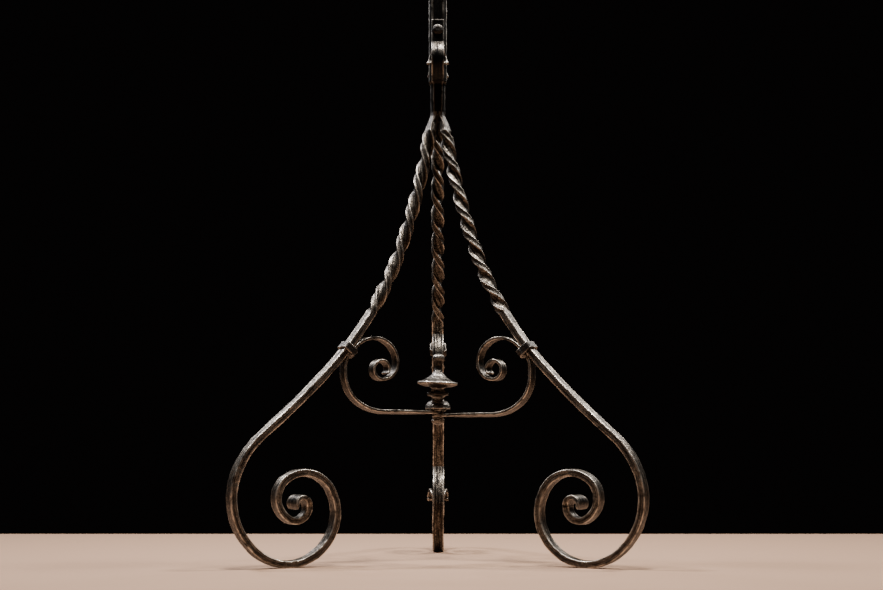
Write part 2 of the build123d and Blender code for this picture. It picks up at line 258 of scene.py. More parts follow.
def hammer(grid, s, rng, dents, depth, along, across):
    """Presses overlapping hammer marks into a grid of rings (rows are rings).

    along and across are the least and most half lengths of a mark.
    """
    rows, cols, _ = grid.shape
    closed = np.concatenate([grid, grid[:, :1]], axis=1)
    gaps = np.linalg.norm(np.diff(closed, axis=1), axis=2)
    w = np.concatenate([np.zeros((rows, 1)), np.cumsum(gaps, axis=1)[:, :-1]], axis=1)
    girth = gaps.sum(axis=1, keepdims=True)
    d_s = np.gradient(grid, axis=0)
    d_w = np.roll(grid, -1, axis=1) - np.roll(grid, 1, axis=1)
    normal = np.cross(d_w, d_s)
    normal /= np.maximum(np.linalg.norm(normal, axis=2, keepdims=True), 1e-9)
    middle = grid.mean(axis=1, keepdims=True)
    flip = np.sign(np.sum(normal * (grid - middle), axis=(1, 2)).mean())
    normal *= flip if flip != 0 else 1.0
    press = np.zeros((rows, cols))
    total = s[-1] - s[0]
    for _ in range(int(dents)):
        sk = s[0] + rng.random() * total
        ak, bk = rng.uniform(*along), rng.uniform(*across)
        dk = depth * rng.uniform(0.35, 1.0)
        i0, i1 = np.searchsorted(s, sk - ak), np.searchsorted(s, sk + ak)
        if i1 - i0 < 2:
            continue
        wk = rng.random()
        g = girth[i0:i1]
        dw = np.abs(w[i0:i1] - wk * g)
        dw = np.minimum(dw, g - dw) / bk
        q = ((s[i0:i1, None] - sk) / ak) ** 2 + dw ** 2
        press[i0:i1] = np.maximum(press[i0:i1], dk * np.clip(1 - q, 0, 1) ** 1.3)
    return grid - normal * press[:, :, None], press


def add_mesh(name, verts, faces, flow, edge, brown):
    """Mesh in millimetres with the surface attributes that the iron reads."""
    mesh = bpy.data.meshes.new(name)
    mesh.from_pydata([tuple(p) for p in np.asarray(verts) * MM], [], faces)
    obj = bpy.data.objects.new(name, mesh)
    bpy.context.scene.collection.objects.link(obj)
    for key, values in (("edge", edge), ("brown", brown)):
        layer = mesh.attributes.new(key, "FLOAT", "POINT")
        layer.data.foreach_set("value", np.asarray(values, dtype=np.float32))
    layer = mesh.attributes.new("flow", "FLOAT_VECTOR", "POINT")
    layer.data.foreach_set("vector", (np.asarray(flow) * MM).astype(np.float32).reshape(-1))
    mesh.polygons.foreach_set("use_smooth", [True] * len(mesh.polygons))
    return obj


def tube_faces(rows, cols):
    """Quads round a grid of rings, with a cap on each end."""
    faces = []
    for i in range(rows - 1):
        for j in range(cols):
            a, b = i * cols + j, i * cols + (j + 1) % cols
            faces.append((a, b, b + cols, a + cols))
    faces.append(tuple(reversed(range(cols))))
    faces.append(tuple(range((rows - 1) * cols, rows * cols)))
    return faces


# Shares of the inset and of the length, for each extra ring of a rounded end.
END_STEPS = ((0.12, 0.45), (0.45, 0.85), (1.0, 1.0))
END_INSET, END_LENGTH = 0.9, 0.6


def rounded_end(ring_points, forward):
    """Extra rings that close a bar end with a soft hammered edge."""
    middle = ring_points.mean(axis=0)
    inward = ring_points - middle
    reach = np.maximum(np.linalg.norm(inward, axis=1, keepdims=True), 1e-6)
    return np.array([middle + inward * np.clip(1 - inset * END_INSET / reach, 0.05, 1)
                     + np.array(forward) * END_LENGTH * out for inset, out in END_STEPS])


class Sweep:
    """Rings of one bar with their place along it, gathered before they become a mesh."""

    def __init__(self):
        self.rings, self.flow, self.edge, self.s = [], [], [], []

    def add(self, points, s, ring, gain=1.0):
        """One more ring at distance s, its edges worn by gain."""
        self.rings.append(points)
        self.s.append(s)
        self.edge.append(ring[:, 2] * gain)
        self.flow.append(np.column_stack([np.full(len(ring), s), ring[:, 0], ring[:, 1]]))

    def make(self, name, rng, dents, depth, marks, azimuth, brown,
             head=None, tail=None, floor=False):
        """Mesh of the bar: hammered, rounded at the ends that have a direction, and turned."""
        grid, s = np.array(self.rings), np.array(self.s)
        grid, press = hammer(grid, s, rng, dents, depth, *marks)
        if floor:
            grid[:, :, 2] = np.maximum(grid[:, :, 2], 0.0)
        press = np.clip(press / depth, 0, 1)
        edge = np.array(self.edge) * (1 - 0.35 * press)
        brown = brown(grid, s) + 0.3 * press
        flow = np.array(self.flow)
        blocks = [grid]
        before = after = 0
        if head is not None:
            blocks.insert(0, rounded_end(grid[0], head)[::-1])
            before = len(END_STEPS)
        if tail is not None:
            blocks.append(rounded_end(grid[-1], tail))
            after = len(END_STEPS)

        def stretch(values):
            return np.concatenate([values[:1]] * before + [values] + [values[-1:]] * after)

        verts = np.concatenate(blocks)
        rows, cols = verts.shape[:2]
        return add_mesh(name, turned(verts.reshape(-1, 3), azimuth), tube_faces(rows, cols),
                        stretch(flow).reshape(-1, 3), stretch(edge).reshape(-1),
                        stretch(brown).reshape(-1))


def turned(points, azimuth):
    """Points turned about the stand's axis, from the +X plane to their own."""
    t = math.radians(azimuth)
    rot = np.array([[math.cos(t), -math.sin(t), 0], [math.sin(t), math.cos(t), 0], [0, 0, 1]])
    return points @ rot.T + np.array([0.0, AXIS_Y, 0.0])


def evenly(value):
    """The same brownness all over a piece."""
    return lambda grid, s: np.full(grid.shape[:2], value)


def finish_piece(obj, node, slot):
    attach(obj, "root")
    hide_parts(node)
    obj.data.materials.append(MATERIALS[slot])


# ------------------------------------------------------------ iron
def iron(name, dark, warm, grey, rough, metal, wear, side_top_light_share, seed):
    """Blackened, waxed wrought iron: scale, brown patina, drawn grain and rubbed edges.

    The grain is drawn along the bar by the flow attribute. By the direction of the surface itself,
    grey metal and bare specks are painted stronger on upper faces as painted light from above.
    """
    mat = bpy.data.materials.new(name)
    mat.use_nodes = True
    nt = mat.node_tree
    nt.nodes.clear()
    out = nt.nodes.new("ShaderNodeOutputMaterial")
    bsdf = nt.nodes.new("ShaderNodeBsdfPrincipled")
    nt.links.new(bsdf.outputs[0], out.inputs[0])
    bsdf.inputs["Metallic"].default_value = metal
    coord = nt.nodes.new("ShaderNodeTexCoord")
    place = nt.nodes.new("ShaderNodeMapping")
    place.inputs["Location"].default_value = (seed, seed * 0.7, seed * 1.3)
    nt.links.new(coord.outputs["Object"], place.inputs["Vector"])
    flow = nt.nodes.new("ShaderNodeAttribute")
    flow.attribute_name = "flow"
    drawn = nt.nodes.new("ShaderNodeMapping")
    drawn.inputs["Location"].default_value = (seed, seed, seed)
    drawn.inputs["Scale"].default_value = (40.0, 620.0, 620.0)
    nt.links.new(flow.outputs["Vector"], drawn.inputs["Vector"])

    def noise(scale, detail, rough_n, source=place):
        n = nt.nodes.new("ShaderNodeTexNoise")
        n.inputs["Scale"].default_value = scale
        n.inputs["Detail"].default_value = detail
        n.inputs["Roughness"].default_value = rough_n
        nt.links.new(source.outputs[0], n.inputs["Vector"])
        return n.outputs["Fac"]

    def spread(value, low, high, to_low=0.0, to_high=1.0):
        m = nt.nodes.new("ShaderNodeMapRange")
        m.inputs["From Min"].default_value = low
        m.inputs["From Max"].default_value = high
        m.inputs["To Min"].default_value = to_low
        m.inputs["To Max"].default_value = to_high
        nt.links.new(value, m.inputs["Value"])
        return m.outputs[0]

    def calc(op, a, b):
        m = nt.nodes.new("ShaderNodeMath")
        m.operation = op
        m.use_clamp = True
        for i, v in enumerate((a, b)):
            if isinstance(v, float):
                m.inputs[i].default_value = v
            else:
                nt.links.new(v, m.inputs[i])
        return m.outputs[0]

    def plus(a, b):
        return calc("ADD", a, b)

    def times(a, b):
        return calc("MULTIPLY", a, b)

    def mix(fac, a, b):
        m = nt.nodes.new("ShaderNodeMix")
        m.data_type = "RGBA"
        nt.links.new(fac, m.inputs["Factor"])
        for key, v in (("A", a), ("B", b)):
            socket = [i for i in m.inputs if i.name == key and i.type == "RGBA"][0]
            if isinstance(v, tuple):
                socket.default_value = (*v, 1.0)
            else:
                nt.links.new(v, socket)
        return [o for o in m.outputs if o.type == "RGBA"][0]

    def attribute(key):
        n = nt.nodes.new("ShaderNodeAttribute")
        n.attribute_name = key
        return n.outputs["Fac"]

    shape = nt.nodes.new("ShaderNodeNewGeometry")
    facing = nt.nodes.new("ShaderNodeSeparateXYZ")
    nt.links.new(shape.outputs["Normal"], facing.inputs[0])
    # upper, from the surface normal, carries painted light from above: it lightens upward faces with
    # grey.
    upper = spread(facing.outputs["Z"], 0.05, 0.85)
    # under, from the surface normal, carries a painted warm floor reflection on downward faces.
    under = spread(facing.outputs["Z"], -0.1, -0.8)

    # Drawn grain, fine mottle, broad patches and pits.
    streak = noise(1.0, 4.0, 0.6, drawn)
    mottle = noise(400.0, 5.0, 0.7)
    patch = noise(34.0, 5.0, 0.6)
    pits = noise(900.0, 3.0, 0.62)

    # Brown patina in patches and where the mesh asks for it, and under faces painted warm brown as a
    # painted reflection of the floor.
    brown = plus(times(spread(patch, 0.42, 0.62), 0.5), times(attribute("brown"), 0.6))
    brown = plus(brown, times(under, 0.5))
    colour = mix(brown, dark, warm)

    # Grey metal showing through in streaks, painted stronger on upper faces and weaker on the sides
    # as painted light from above.
    grey_streak_and_top_light = times(spread(streak, 0.44, 0.56), spread(patch, 0.66, 0.42, 0.35, 1.0))
    top_light_share = spread(upper, 0.0, 0.7, side_top_light_share, 1.0)
    grey_streak_and_top_light = times(grey_streak_and_top_light, top_light_share)
    grain = times(spread(mottle, 0.56, 0.42), spread(streak, 0.41, 0.53))
    grey_streak_and_top_light = plus(grey_streak_and_top_light, times(upper, times(grain, 0.6)))
    grey_streak_and_top_light = times(grey_streak_and_top_light, spread(attribute("brown"), 0.3, 1.0, 1.0, 0.45))
    colour = mix(times(grey_streak_and_top_light, 0.9), colour, grey)

    # Specks of black scale, and dark lines between the streaks.
    scale = tuple(c * 0.35 for c in dark)
    colour = mix(times(spread(mottle, 0.51, 0.57), 0.7), colour, scale)
    colour = mix(times(spread(pits, 0.52, 0.58), 0.6), colour, scale)
    colour = mix(times(spread(streak, 0.5, 0.43), 0.85), colour, dark)

    # Rubbed edges, and bare specks painted stronger on upper faces as painted light from above.
    rub = times(attribute("edge"), spread(noise(120.0, 5.0, 0.66), 0.36, 0.56))
    rub = times(rub, spread(streak, 0.36, 0.58, 0.4, 1.0))
    rub = times(rub, wear)
    bare_and_top_light = times(spread(mottle, 0.44, 0.36), spread(streak, 0.46, 0.6))
    bare_and_top_light = times(bare_and_top_light, top_light_share)
    rub = plus(rub, times(bare_and_top_light, 0.7 * wear))
    colour = mix(rub, colour, WORN)
    nt.links.new(colour, bsdf.inputs["Base Color"])

    dull = spread(mottle, 0.25, 0.75, rough - 0.1, rough + 0.16)
    nt.links.new(calc("SUBTRACT", dull, times(rub, 0.14)), bsdf.inputs["Roughness"])
    height = plus(times(streak, 0.5), times(mottle, 0.32))
    height = plus(height, times(pits, 0.18))
    bump = nt.nodes.new("ShaderNodeBump")
    bump.inputs["Strength"].default_value = 0.8
    bump.inputs["Distance"].default_value = 0.0011
    nt.links.new(height, bump.inputs["Height"])
    nt.links.new(bump.outputs[0], bsdf.inputs["Normal"])
    return mat


DARK = (0.0085, 0.0072, 0.0064)
GREY = (0.46, 0.4, 0.325)
WORN = (0.88, 0.79, 0.68)
# For each slot: dark, warm and grey colour, then roughness, metallic, wear, the share of the grey
# painted as light from above that is left on the sides, and the place in the noise.
LOOKS = {
    "leg_iron": (DARK, (0.045, 0.026, 0.015), GREY, 0.38, 0.88, 1.0, 0.34, 0.0),
    "strap_iron": (DARK, (0.045, 0.025, 0.014), GREY, 0.36, 0.88, 0.9, 0.2, 3.1),
    "collar_iron": ((0.012, 0.0105, 0.01), (0.03, 0.02, 0.0135), (0.2, 0.18, 0.16),
                    0.4, 0.86, 0.6, 0.12, 5.3),
    # stem_iron is the same iron painted much darker, as painted shade on the stem, its spigot and the
    # brackets.
    "stem_iron": ((0.0045, 0.004, 0.0038), (0.009, 0.006, 0.0045), (0.3, 0.265, 0.22),
                  0.34, 0.88, 0.6, 0.03, 7.7),
    "turned_iron": ((0.012, 0.0105, 0.01), (0.035, 0.022, 0.014), (0.38, 0.345, 0.3),
                    0.33, 0.9, 0.95, 0.1, 9.9),
}
MATERIALS = {slot: iron(slot, *look) for slot, look in LOOKS.items()}


# ------------------------------------------------------------ legs
def build_leg(name, azimuth, seed):
    """One leg: scarfed top, twist, shank, scroll foot and fishtail curl."""
    rng = np.random.default_rng(seed)
    bar = Sweep()
    base = rect_ring(LEG_W, LEG_T, LEG_CORNER)
    bar_end = place_ring(LEG_TOP, base)

    def level(z, *shape):
        ring = wedge_ring(*shape)
        return np.stack([ring[:, 0], -ring[:, 1], np.full(len(ring), z)], axis=1)

    top_shape = ((0.6, 0.9), (2.9, 4.8), (4.0, 5.0), (7.3, 3.2))
    stops = [level(NECK_Z, *top_shape), level(WELD_Z + SCARF_TOP, *top_shape),
             level(WELD_Z + SCARF_LOW, (3.4, 3.6), (4.2, 4.8), (9.4, 4.8), (10.2, 3.8)), bar_end]
    step = 0
    for a, b, n in zip(stops[:-1], stops[1:], WELD_RINGS):
        for i in range(n):
            f = i / n
            if b is bar_end:
                f = eased(f)
            bar.add(a * (1 - f) + b * f, BUNDLE_TOP * (step / sum(WELD_RINGS) - 1), base, 0.55)
            step += 1
    twist_len = sum(length_of(m) for m in TWISTED)
    moves = TWISTED + SHANK + FOOT
    poses, where = trail(LEG_TOP, moves, 1.05)
    total = where[-1]
    roll = sum(length_of(m) for m in CURL)
    width_curve = smooth_noise(rng, total + roll, 21.0, 0.16)
    thick_curve = smooth_noise(rng, total + roll, 15.0, 0.13)
    sway = smooth_noise(rng, total + roll, 55.0, 0.25)
    lean = smooth_noise(rng, total + roll, 38.0, 1.1)
    for pose, d in zip(poses, where):
        twisted = d < twist_len
        ease = min(1.0, d / 20.0)
        turn = -180.0 * HALF_TURNS[name] * min(d / twist_len, 1.0)
        turn += lean(d) * ease * (1.0 if not twisted else 2.0)
        w = LEG_W + width_curve(d) * ease - (0.2 * ease if twisted else 0.0)
        t = LEG_T + thick_curve(d) * ease + (0.1 * ease if twisted else 0.0)
        ring = rect_ring(w, t, LEG_CORNER - (0.35 if twisted else 0.0))
        bar.add(place_ring(pose, ring, turn, sway(d) * ease), d, ring, 1.0 if twisted else 0.8)
    foot_end = poses[-1]
    for i in range(1, FISHTAIL_RINGS + 1):
        u = i / FISHTAIL_RINGS
        d = total + roll * u
        pose = pose_along(foot_end, CURL, roll * u)
        w = LEG_W + (FISHTAIL_W - LEG_W) * u * (2 - u) + width_curve(d) * (1 - u)
        t = LEG_T + (FISHTAIL_T - LEG_T) * u + thick_curve(d) * (1 - u)
        ring = rect_ring(w, t, min(LEG_CORNER, 0.42 * t))
        points = place_ring(pose, ring, lean(d) * (1 - u), sway(d))
        bow = (ring[:, 1] / (FISHTAIL_W / 2)) ** 2 * FISHTAIL_BOW
        bow *= max(0.0, u - BOW_FROM) / (1 - BOW_FROM)
        bar.add(points - heading_of(pose) * bow[:, None], d, ring, 0.85)

    def brown(grid, s):
        """Browner at the weld and down the foot."""
        foot = np.clip((s - 330) / 120, 0, 1)[:, None]
        low = np.clip(1 - grid[:, :, 2] / 130.0, 0, 1)
        weld = np.clip(-s / 10, 0, 1)[:, None]
        return 0.1 + 0.7 * weld + foot * (0.2 + 0.5 * low)

    obj = bar.make("forged_leg_" + name, rng, 900, 0.36, ((3.0, 7.5), (2.2, 4.6)), azimuth, brown,
                   tail=heading_of(end_of(foot_end, CURL)), floor=True)
    finish_piece(obj, "leg_" + name, "leg_iron")


# ------------------------------------------------------------ straps
def grip_pose(name):
    """Pose on the leg's shank where its collar grips."""
    return pose_along(TWIST_END, SHANK, COLLAR_FROM_TWIST[name])


def strap_ring(width, thick=STRAP_T, corner=STRAP_CORNER):
    return rect_ring(width, thick, corner, short_n=3)


def build_brace(name, azimuth, seed):
    """One strap: eye at the hub, belly, grip under the collar, crest and inner coil."""
    rng = np.random.default_rng(seed)
    grip = beside(grip_pose(name), -(LEG_T + STRAP_T) / 2)
    half = COLLAR_LEN / 2
    lower = ((0.0, half), (ELBOW_R, DOWN - grip[2]))
    below = end_of(grip, lower)
    belly_drop = below[1] - end_of(below, BELLY)[1]
    plumb = below[1] - belly_drop - RUN_Z[name]
    lower += ((0.0, plumb),) + BELLY
    reach = end_of(grip, lower)[0]
    lower += ((0.0, reach + STRAP_W / 2),)
    up = (grip[0], grip[1], grip[2] + 180.0)
    upper = ((0.0, half), (CREST_R, 180.0 - up[2])) + COIL
    down_poses, down_s = trail(grip, lower, 1.0)
    up_poses, up_s = trail(up, upper, 0.85)
    strap = Sweep()
    eye_r = STRAP_W / 2
    total = down_s[-1]
    for pose, d in zip(reversed(down_poses), reversed(down_s)):
        left = total - d
        w = STRAP_W
        if left < eye_r:
            w = max(1.2, 2 * math.sqrt(max(eye_r ** 2 - (eye_r - left) ** 2, 0.0)))
        roll = STRAP_TILT[name] * ramp(left, 12.0, 30.0) * ramp(d, 45.0, 50.0)
        ring = strap_ring(w)
        strap.add(place_ring((pose[0], pose[1], pose[2] + 180.0), ring, roll), left, ring)
    for pose, d in zip(up_poses[1:], up_s[1:]):
        ring = strap_ring(STRAP_W)
        strap.add(place_ring(pose, ring), total + d, ring)
    end = up_poses[-1]
    total += up_s[-1]
    for i in range(1, TIP_RINGS + 1):
        u = i / TIP_RINGS
        ring = strap_ring(STRAP_W + 3.0 * u * u, STRAP_T - 0.8 * u, 0.7)
        strap.add(place_ring(advance(end, TIP, u), ring), total + length_of(TIP) * u, ring)

    def brown(grid, s):
        """Browner where the strap dips to the hub."""
        return 0.12 + 0.3 * np.clip(1 - np.abs(s - 60) / 60, 0, 1)[:, None] * np.ones(grid.shape[1])

    obj = strap.make("strap_" + name, rng, 420, 0.17, ((3.0, 6.0), (2.2, 4.2)), azimuth, brown,
                     tail=heading_of(advance(end, TIP)))
    finish_piece(obj, "brace_" + name, "strap_iron")


def build_collar(name, azimuth, seed):
    """Flat band bent round leg and strap, its scarfed ends lapped on the strap side."""
    rng = np.random.default_rng(seed)
    x, z, a = beside(grip_pose(name), -STRAP_T / 2)
    ca, sa = math.cos(math.radians(a)), math.sin(math.radians(a))
    hu = (LEG_T + STRAP_T) / 2 + COLLAR_WALL / 2 + COLLAR_GAP
    hv = LEG_W / 2 + COLLAR_WALL / 2 + COLLAR_GAP
    turn = (COLLAR_BEND, 90.0)
    broad = (0.0, 2 * (hv - COLLAR_BEND))
    narrow = (0.0, 2 * (hu - COLLAR_BEND))
    loop = (broad, turn, narrow, turn) * 2 + ((0.0, LAP_LEN),)
    poses, where = trail((-hu, hv - COLLAR_BEND, DOWN), loop, 0.6)
    total = where[-1]
    band = Sweep()
    for (u, v, h), d in zip(poses, where):
        lift = LAP_LIFT * ramp(d, total - LAP_LEN - 4.0, 5.0)
        scarf = (0.55 + 0.45 * ramp(d, 0.0, 6.0)) * (0.5 + 0.5 * ramp(total - d, 0.0, 5.0))
        out_u, out_v = math.sin(math.radians(h)), -math.cos(math.radians(h))
        ring = rect_ring(COLLAR_LEN, COLLAR_WALL * scarf, 0.7, 8, 3)
        pu = u + out_u * (ring[:, 0] + lift)
        pv = v + out_v * (ring[:, 0] + lift)
        points = np.stack([x - sa * pu + ca * ring[:, 1], -pv, z + ca * pu + sa * ring[:, 1]], axis=1)
        band.add(points, d, ring)
    obj = band.make("band_" + name, rng, 70, 0.26, ((2.0, 4.5), (1.8, 3.4)), azimuth, evenly(0.2))
    finish_piece(obj, "collar_" + name, "collar_iron")


# ------------------------------------------------------------ turned pieces
def arc_through(p, q, r, count):
    """Points on the circle through three points, from p to r."""
    ax, ay, bx, by, cx, cy = *p, *q, *r
    d = 2 * (ax * (by - cy) + bx * (cy - ay) + cx * (ay - by))
    a2, b2, c2 = ax**2 + ay**2, bx**2 + by**2, cx**2 + cy**2
    ux = (a2 * (by - cy) + b2 * (cy - ay) + c2 * (ay - by)) / d
    uy = (a2 * (cx - bx) + b2 * (ax - cx) + c2 * (bx - ax)) / d
    rad = math.hypot(ax - ux, ay - uy)
    t0, t1, t2 = (math.atan2(y - uy, x - ux) for x, y in ((ax, ay), (bx, by), (cx, cy)))
    span = (t2 - t0) % (2 * math.pi)
    if (t1 - t0) % (2 * math.pi) > span:
        span -= 2 * math.pi
    return [(ux + rad * math.cos(t0 + span * i / count), uy + rad * math.sin(t0 + span * i / count))
            for i in range(count + 1)]


def profile(parts):
    """Half profile of (radius, height) points from lines of two points and arcs of three."""
    pts = []
    for part in parts:
        new = arc_through(*part, count=14) if len(part) == 3 else list(part)
        pts += new if not pts else new[1:]
    return pts


def lathe(name, node, slot, pts, bright, seed, rounds=96, place=None):
    """Turned piece from a half profile, a little out of round outside its bore."""
    rng = np.random.default_rng(seed)
    pts = np.array(pts)
    steps = np.linalg.norm(np.diff(pts, axis=0), axis=1)
    keep = np.concatenate([[True], steps > 1e-4])
    pts = pts[keep]
    steps = np.linalg.norm(np.diff(pts, axis=0), axis=1)
    s = np.concatenate([[0], np.cumsum(steps)])
    angles = np.linspace(0, 2 * math.pi, rounds, endpoint=False)
    phase = rng.random(3) * 2 * math.pi
    shape = 1 + 0.008 * np.cos(2 * angles + phase[0]) + 0.005 * np.cos(3 * angles + phase[1])
    reach = np.maximum(pts[:, :1], 0.02)
    radius = reach * np.where(reach > BOLT_HOLE_R + 0.2, shape[None, :], 1.0)
    grid = np.stack([radius * np.cos(angles), radius * np.sin(angles),
                     np.repeat(pts[:, 1:], rounds, axis=1)], axis=2)
    # Wear gathers where the profile turns outwards.
    bend = np.zeros(len(pts))
    for i in range(1, len(pts) - 1):
        a, b = pts[i] - pts[i - 1], pts[i + 1] - pts[i]
        la, lb = np.linalg.norm(a), np.linalg.norm(b)
        bend[i] = (a[0] * b[1] - a[1] * b[0]) / (la * lb * max(0.3, (la + lb) / 2))
    sign = 1.0 if bend.sum() > 0 else -1.0
    edge = np.clip(bend * sign * 1.1, 0, 1)
    soften = [0.15, 0.25, 0.3, 0.25, 0.15]
    edge = np.convolve(np.pad(edge, 2, mode="edge"), soften, "valid") * bright
    flow = np.stack([np.repeat(40 * np.cos(angles)[None, :], len(pts), axis=0),
                     np.repeat(2.5 * np.sin(angles)[None, :], len(pts), axis=0),
                     np.repeat(s[:, None], rounds, axis=1)], axis=2)
    verts = grid.reshape(-1, 3)
    if place is not None:
        verts = place(verts)
    verts = verts + np.array([0.0, AXIS_Y, 0.0])
    obj = add_mesh(name, verts, tube_faces(len(pts), rounds), flow.reshape(-1, 3),
                   np.repeat(edge, rounds), np.full(len(verts), 0.2))
    finish_piece(obj, node, slot)


def build_hub():
    """Bolt, washer, bun, spool and vase, stacked on the strap eyes."""

    def leaning(points):
        """The finial stands a little out of true, towards +X."""
        t = math.radians(FINIAL_LEAN)
        x, z = points[:, 0], points[:, 2] - VASE_Z
        return np.stack([x * math.cos(t) + z * math.sin(t) - FINIAL_ASIDE, points[:, 1],
                         VASE_Z - x * math.sin(t) + z * math.cos(t)], axis=1)

    def hub_piece(node, bright, seed, parts, place=None):
        lathe(node + "_turned", node, "turned_iron", profile(parts), bright, seed, place=place)

    hole = BOLT_HOLE_R
    hub_piece("finial_vase", 0.9, 11, [
        ((2.9, VASE_Z), (11.0, VASE_Z)),
        ((11.0, VASE_Z), (16.0, 185.2), (20.3, 186.9)),
        ((20.3, 186.9), (21.2, 188.2), (20.3, 189.7)),
        ((20.3, 189.7), (13.6, 192.3), (8.1, 196.2)),
        ((8.1, 196.2), (4.9, 200.8), (3.9, 206.6)),
        ((3.9, 206.6), (4.3, 208.7), (5.4, KNOB_Z - 3.6)),
        ((5.4, KNOB_Z - 3.6), (6.5, KNOB_Z), (4.9, KNOB_Z + 3.3)),
        ((4.9, KNOB_Z + 3.3), (2.535, FINIAL_TOP - 0.33), (0.0, FINIAL_TOP)),
    ], place=leaning)
    mid = (SPOOL_Z + VASE_Z) / 2
    hub_piece("finial_spool", 0.9, 12, [
        ((hole, SPOOL_Z), (7.2, SPOOL_Z)),
        ((7.2, SPOOL_Z), (6.5, mid - 4.2), (9.2, mid - 2.2)),
        ((9.2, mid - 2.2), (11.8, mid), (9.2, mid + 2.2)),
        ((9.2, mid + 2.2), (6.8, mid + 4.2), (9.0, VASE_Z)),
        ((9.0, VASE_Z), (hole, VASE_Z)),
    ])
    hub_piece("finial_bun", 0.8, 13, [
        ((hole, BUN_Z), (12.4, BUN_Z)),
        ((12.4, BUN_Z), (13.3, BUN_Z + 0.5), (13.3, BUN_Z + 1.5)),
        ((13.3, BUN_Z + 1.5), (11.8, BUN_Z + 5.8), (7.6, SPOOL_Z)),
        ((7.6, SPOOL_Z), (hole, SPOOL_Z)),
    ])
    hub_piece("hub_washer", 0.6, 14, [
        ((hole, WASHER_Z), (8.6, WASHER_Z)),
        ((8.6, WASHER_Z), (9.0, WASHER_Z + 0.4)),
        ((9.0, WASHER_Z + 0.4), (9.0, BUN_Z - 0.4)),
        ((9.0, BUN_Z - 0.4), (8.6, BUN_Z)),
        ((8.6, BUN_Z), (hole, BUN_Z)),
    ])
    hub_piece("hub_bolt", 0.8, 15, [
        ((0.0, BOLT_Z), (2.0, BOLT_Z)),
        ((2.0, BOLT_Z), (5.6, BOLT_Z + 1.7), (7.0, 149.0)),
        ((7.0, 149.0), (7.0, 149.95)),
        ((7.0, 149.95), (3.0, 150.0)),
        ((3.0, 150.0), (3.0, 193.4)),
        ((3.0, 193.4), (0.0, 193.4)),
    ])


# ------------------------------------------------------------ stem and brackets
def chamfer_ring(side, cut):
    """Square with cut corners: columns are x, y, edge weight."""
    h = side / 2
    pts = [(h, -h + cut), (h, h - cut), (h - cut, h), (-h + cut, h),
           (-h, h - cut), (-h, -h + cut), (-h + cut, -h), (h - cut, -h)]
    rows = []
    for k in range(8):
        p, q = pts[k], pts[(k + 1) % 8]
        n = 7 if k % 2 == 0 else 3
        for i in range(n):
            f = i / n
            near = min(f, 1 - f) * math.hypot(q[0] - p[0], q[1] - p[1])
            rows.append((p[0] + (q[0] - p[0]) * f, p[1] + (q[1] - p[1]) * f,
                         max(0.0, 1 - near / 0.8)))
    return np.array(rows)


def bundle_reach(theta):
    """Outline radius of the three scarfed bars where they meet the stem."""
    wedge = [(4.0, -5.0), (7.3, -3.2), (7.3, 3.2), (4.0, 5.0)]
    best = 6.3
    for azimuth in AZIMUTH.values():
        t = theta - math.radians(azimuth)
        dx, dy = math.cos(t), math.sin(t)
        for (ax, ay), (bx, by) in zip(wedge[:-1], wedge[1:]):
            ex, ey = bx - ax, by - ay
            det = ex * dy - ey * dx
            if abs(det) < 1e-9:
                continue
            reach = (ex * ay - ey * ax) / det
            along = (dx * ay - dy * ax) / det
            if reach > 0 and 0 <= along <= 1:
                best = max(best, reach)
    return best


def build_stem():
    """Forge-welded neck that swells from the three bars into the chamfered square stem."""
    rng = np.random.default_rng(21)
    low = NECK_Z - NECK_LAP
    stations = []
    z = low
    while z < STEM_Z - 0.6:
        stations.append((z, NECK_SIDE, 3.2))
        z += 1.05
    stations += [(STEM_Z - 0.3, NECK_SIDE, 3.2), (STEM_Z, NECK_SIDE + 0.5, 3.0),
                 (STEM_Z + 0.3, STEM_SIDE - 1.6, 3.2), (STEM_Z + 1.0, STEM_SIDE - 0.3, 3.4)]
    z = STEM_Z + 2.0
    while z < SHOULDER_Z - 1.6:
        stations.append((z, STEM_SIDE, 3.4))
        z += 1.15
    stations += [(SHOULDER_Z - 1.2, STEM_SIDE, 3.4), (SHOULDER_Z - 0.5, STEM_SIDE - 0.9, 3.2),
                 (SHOULDER_Z - 0.05, STEM_SIDE - 2.2, 3.0), (SHOULDER_Z, STEM_SIDE - 2.8, 2.9)]
    bar = Sweep()
    for z, side, cut in stations:
        ring = chamfer_ring(side, cut)
        share = eased(ramp(z, low, NECK_BLEND))
        if share < 1.0:
            for k in range(len(ring)):
                r = math.hypot(ring[k, 0], ring[k, 1])
                t = math.atan2(ring[k, 1], ring[k, 0])
                start = bundle_reach(t) - 0.5 + 0.9 * min(1.0, (z - low) / 4.0)
                ring[k, :2] *= (start * (1 - share) + r * share) / r
            ring[:, 2] *= 0.4 + 0.6 * share
        points = np.stack([ring[:, 0], ring[:, 1], np.full(len(ring), z)], axis=1)
        bar.add(points, z, ring, 0.9)
    stem = bar.make("forged_stem", rng, 620, 0.26, ((3.0, 7.0), (2.4, 5.0)), 0.0, evenly(0.12))
    finish_piece(stem, "stem", "stem_iron")
    r, top = SPIGOT_R, SHOULDER_Z + SPIGOT_LEN
    rows = [(2.0, SHOULDER_Z - 1.4), (r + 0.9, SHOULDER_Z - 0.6), (r + 0.3, SHOULDER_Z + 0.2),
            (r, SHOULDER_Z + 0.9)]
    rows += [(r, SHOULDER_Z + 2.0 + 0.9 * i) for i in range(30)]
    rows += [(r, top - 1.0), (r - 0.25, top - 0.55), (r - 0.7, top - 0.2), (r - 1.4, top), (0.0, top)]
    lathe("stem_spigot", "stem", "stem_iron", rows, 0.9, 22, rounds=56)


